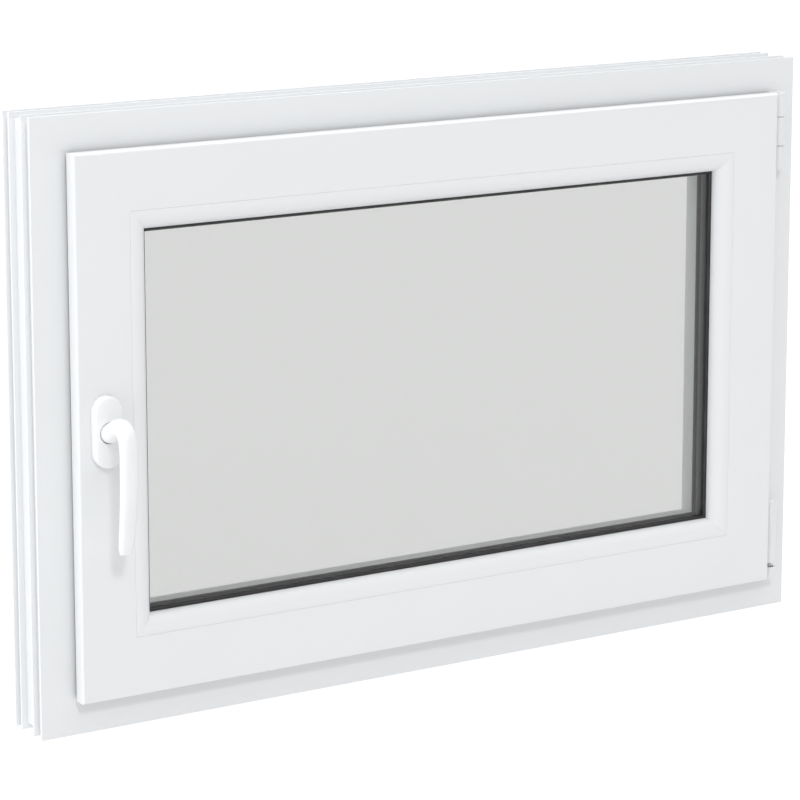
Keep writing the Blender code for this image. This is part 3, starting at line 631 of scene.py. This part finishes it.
# a row of countersunk screw heads, evenly spaced from Start to End, facing along Facing
def screwRowTree():
    tree, sockets, given, result = startTree("screwRow", [
        ("Start", "NodeSocketVector", (0, 0, 0)), ("End", "NodeSocketVector", (0, 0, 0.1)),
        ("Facing", "NodeSocketVector", (0, 0, 0)), ("Count", "NodeSocketInt", 4),
        ("Radius", "NodeSocketFloat", 0.0026), ("Height", "NodeSocketFloat", 0.0007),
    ])
    line = tree.nodes.new("GeometryNodeMeshLine")
    line.mode = "END_POINTS"
    tree.links.new(given.outputs["Count"], line.inputs["Count"])
    tree.links.new(given.outputs["Start"], line.inputs["Start Location"])
    tree.links.new(given.outputs["End"], line.inputs["Offset"])
    head = tree.nodes.new("GeometryNodeMeshCone")
    head.inputs["Vertices"].default_value = 16
    half = tree.nodes.new("ShaderNodeMath")
    half.operation = "MULTIPLY"
    half.inputs[1].default_value = 0.72
    tree.links.new(given.outputs["Radius"], half.inputs[0])
    tree.links.new(half.outputs[0], head.inputs["Radius Top"])
    tree.links.new(given.outputs["Radius"], head.inputs["Radius Bottom"])
    tree.links.new(given.outputs["Height"], head.inputs["Depth"])
    spread = tree.nodes.new("GeometryNodeInstanceOnPoints")
    tree.links.new(line.outputs["Mesh"], spread.inputs["Points"])
    tree.links.new(head.outputs["Mesh"], spread.inputs["Instance"])
    turn = tree.nodes.new("FunctionNodeEulerToRotation")
    tree.links.new(given.outputs["Facing"], turn.inputs[0])
    tree.links.new(turn.outputs[0], spread.inputs["Rotation"])
    endTree(tree, result, spread.outputs[0], "hardware_steel")
    return tree, sockets


rows, rowSockets = screwRowTree()
quarter = math.pi / 2
# start, end, facing and count of each row, in millimetres
screwRows = {
    "screws_side": ((-398.2, 8.0, 120.0), (-398.2, 8.0, 480.0), (0, -quarter, 0), 5),
    "screws_top": ((-300.0, 8.0, 548.2), (60.0, 8.0, 548.2), (0, 0, 0), 4),
    "screws_bottom": ((-280.0, 8.0, 51.8), (200.0, 8.0, 51.8), (math.pi, 0, 0), 5),
}


def makeScrews():
    for name, (start, end, facing, count) in screwRows.items():
        values = {
            "Start": [v * mm for v in start], "End": [v * mm for v in end], "Facing": list(facing),
            "Count": count, "Radius": screwForm["radius"] * mm, "Height": screwForm["height"] * mm,
        }
        row = runTree(name, rows, rowSockets, values, "hardware_steel")
        seat(row, "sash", "hardware_steel")


makeScrews()
print("screw rows", len(screwRows))


# a line of small round holes, drawn as dark dots a hair proud of the spacer bar; the dark of each dot is
# painted shade inside the hole
def breatherTree():
    tree, sockets, given, result = startTree("breatherDots", [
        ("Start", "NodeSocketVector", (0, 0, 0)), ("End", "NodeSocketVector", (0, 0, 0.1)),
        ("Facing", "NodeSocketVector", (0, 0, 0)), ("Pitch", "NodeSocketFloat", 0.004),
        ("Radius", "NodeSocketFloat", 0.0004),
    ])
    line = tree.nodes.new("GeometryNodeCurvePrimitiveLine")
    tree.links.new(given.outputs["Start"], line.inputs["Start"])
    tree.links.new(given.outputs["End"], line.inputs["End"])
    spots = tree.nodes.new("GeometryNodeResampleCurve")
    spots.mode = "LENGTH"
    tree.links.new(line.outputs[0], spots.inputs["Curve"])
    tree.links.new(given.outputs["Pitch"], spots.inputs["Length"])
    dot = tree.nodes.new("GeometryNodeMeshCylinder")
    dot.inputs["Vertices"].default_value = 8
    dot.inputs["Depth"].default_value = 0.0001
    tree.links.new(given.outputs["Radius"], dot.inputs["Radius"])
    spread = tree.nodes.new("GeometryNodeInstanceOnPoints")
    tree.links.new(spots.outputs[0], spread.inputs["Points"])
    tree.links.new(dot.outputs["Mesh"], spread.inputs["Instance"])
    turn = tree.nodes.new("FunctionNodeEulerToRotation")
    tree.links.new(given.outputs["Facing"], turn.inputs[0])
    tree.links.new(turn.outputs[0], spread.inputs["Rotation"])
    # the dots take the gaskets' black as painted shade of the holes
    endTree(tree, result, spread.outputs[0], "black_rubber")
    return tree, sockets


dots, dotSockets = breatherTree()
spacerForm = {"x": 336.8, "low": 112.7, "high": 483.1, "y": 6.0, "margin": 12.0, "pitch": 4.0,
              "hole": 0.45}


def makeBreathers():
    x, low, high, y = (spacerForm[k] for k in ("x", "low", "high", "y"))
    inset = spacerForm["margin"]
    lines = {
        "breather_left": ((-x, y, low + inset), (-x, y, high - inset), (0, quarter, 0)),
        "breather_right": ((x, y, low + inset), (x, y, high - inset), (0, quarter, 0)),
        "breather_bottom": ((-x + inset, y, low), (x - inset, y, low), (0, 0, 0)),
        "breather_top": ((-x + inset, y, high), (x - inset, y, high), (0, 0, 0)),
    }
    for name, (start, end, facing) in lines.items():
        values = {
            "Start": [v * mm for v in start], "End": [v * mm for v in end], "Facing": list(facing),
            "Pitch": spacerForm["pitch"] * mm, "Radius": spacerForm["hole"] * mm,
        }
        # painted shade: each breather hole is a black dot, not an opening
        row = runTree(name, dots, dotSockets, values, "black_rubber")
        seat(row, "sash", "black_rubber")


makeBreathers()
print("repeated parts made")

floorForm = {"reach": 30.0, "below": 0.0005, "colour": (0.08, 0.08, 0.08), "rough": 0.9, "glow": 0.95}


def makeFloor():
    reach, below = floorForm["reach"], floorForm["below"]
    corners = [(x * reach, y * reach, -below) for x, y in ((-1, -1), (1, -1), (1, 1), (-1, 1))]
    mesh = bpy.data.meshes.new("floor")
    mesh.from_pydata(corners, [], [(0, 1, 2, 3)])
    floor = bpy.data.objects.new("floor", mesh)
    bpy.context.collection.objects.link(floor)
    made = bpy.data.materials.new("pale_floor")
    made.use_nodes = True
    shader = made.node_tree.nodes["Principled BSDF"]
    shader.inputs["Base Color"].default_value = (*floorForm["colour"], 1)
    shader.inputs["Roughness"].default_value = floorForm["rough"]
    shader.inputs["Emission Color"].default_value = (1, 1, 1, 1)
    shader.inputs["Emission Strength"].default_value = floorForm["glow"]
    mesh.materials.append(made)


sky = {
    "front": 0.04, "behind": 1.0,  # strength on the room side and on the outdoor side
    "rear": 0.35,  # how much is left of it straight behind the window
    "panels": {  # wide soft lights: axis, where they start and are full, strength, share on the room side
        "above": ("Z", 0.2, 0.9, 2.05, 0.65),
        "left": ("X", -0.45, -0.9, 2.4, 0.2),
    },
}


def makeWorld():
    world = bpy.data.worlds.new("studio")
    bpy.context.scene.world = world
    world.use_nodes = True
    tree = world.node_tree
    ground = tree.nodes["Background"]
    place = tree.nodes.new("ShaderNodeTexCoord").outputs["Generated"]
    split = tree.nodes.new("ShaderNodeSeparateXYZ")
    tree.links.new(place, split.inputs[0])
    across = split.outputs["Y"]
    source = toRange(tree, across, -0.5, 0.3, sky["front"], sky["behind"])
    for axis, low, high, level, spill in sky["panels"].values():
        share = tree.nodes.new("ShaderNodeMath")
        share.operation = "MULTIPLY"
        tree.links.new(toRange(tree, split.outputs[axis], low, high, 0.0, 1.0), share.inputs[0])
        tree.links.new(toRange(tree, across, -0.55, 0.1, spill, 1.0), share.inputs[1])
        mixed = tree.nodes.new("ShaderNodeMix")
        tree.links.new(share.outputs[0], mixed.inputs[0])
        tree.links.new(source, mixed.inputs[2])
        mixed.inputs[3].default_value = level
        source = mixed.outputs[0]
    dimmed = tree.nodes.new("ShaderNodeMath")
    dimmed.operation = "MULTIPLY"
    tree.links.new(source, dimmed.inputs[0])
    tree.links.new(toRange(tree, across, 0.25, 0.7, 1.0, sky["rear"]), dimmed.inputs[1])
    tree.links.new(dimmed.outputs[0], ground.inputs["Strength"])
    ground.inputs["Color"].default_value = (1, 1, 1, 1)


keyLamp = {"power": 74.0, "at": (-1.75, -4.7, 3.9), "aim": (0, 0, 0.3), "size": 0.7}


def makeKey():
    lamp = bpy.data.lights.new("key", "AREA")
    lamp.energy = keyLamp["power"]
    lamp.size = keyLamp["size"]
    key = bpy.data.objects.new("key", lamp)
    key.location = keyLamp["at"]
    towards = Vector(keyLamp["aim"]) - Vector(keyLamp["at"])
    key.rotation_euler = towards.to_track_quat("-Z", "Y").to_euler()
    bpy.context.collection.objects.link(key)


# angles in degrees
cameraForm = {
    "lens": 150.20, "shift": -0.1, "at": (-1.7955, -2.7590, 1.0101), "yaw": 32.393, "pitch": 11.129,
    "roll": 0.01,
}


def makeCamera():
    data = bpy.data.cameras.new("camera")
    data.lens = cameraForm["lens"]
    data.shift_y = cameraForm["shift"]
    camera = bpy.data.objects.new("camera", data)
    camera.location = cameraForm["at"]
    yaw, pitch, roll = (math.radians(cameraForm[k]) for k in ("yaw", "pitch", "roll"))
    camera.rotation_euler = (math.pi / 2 - pitch, roll, -yaw)
    bpy.context.collection.objects.link(camera)
    bpy.context.scene.camera = camera


makeFloor()
makeWorld()
makeKey()
makeCamera()
bpy.context.scene.view_settings.view_transform = "Standard"
print("stage set")
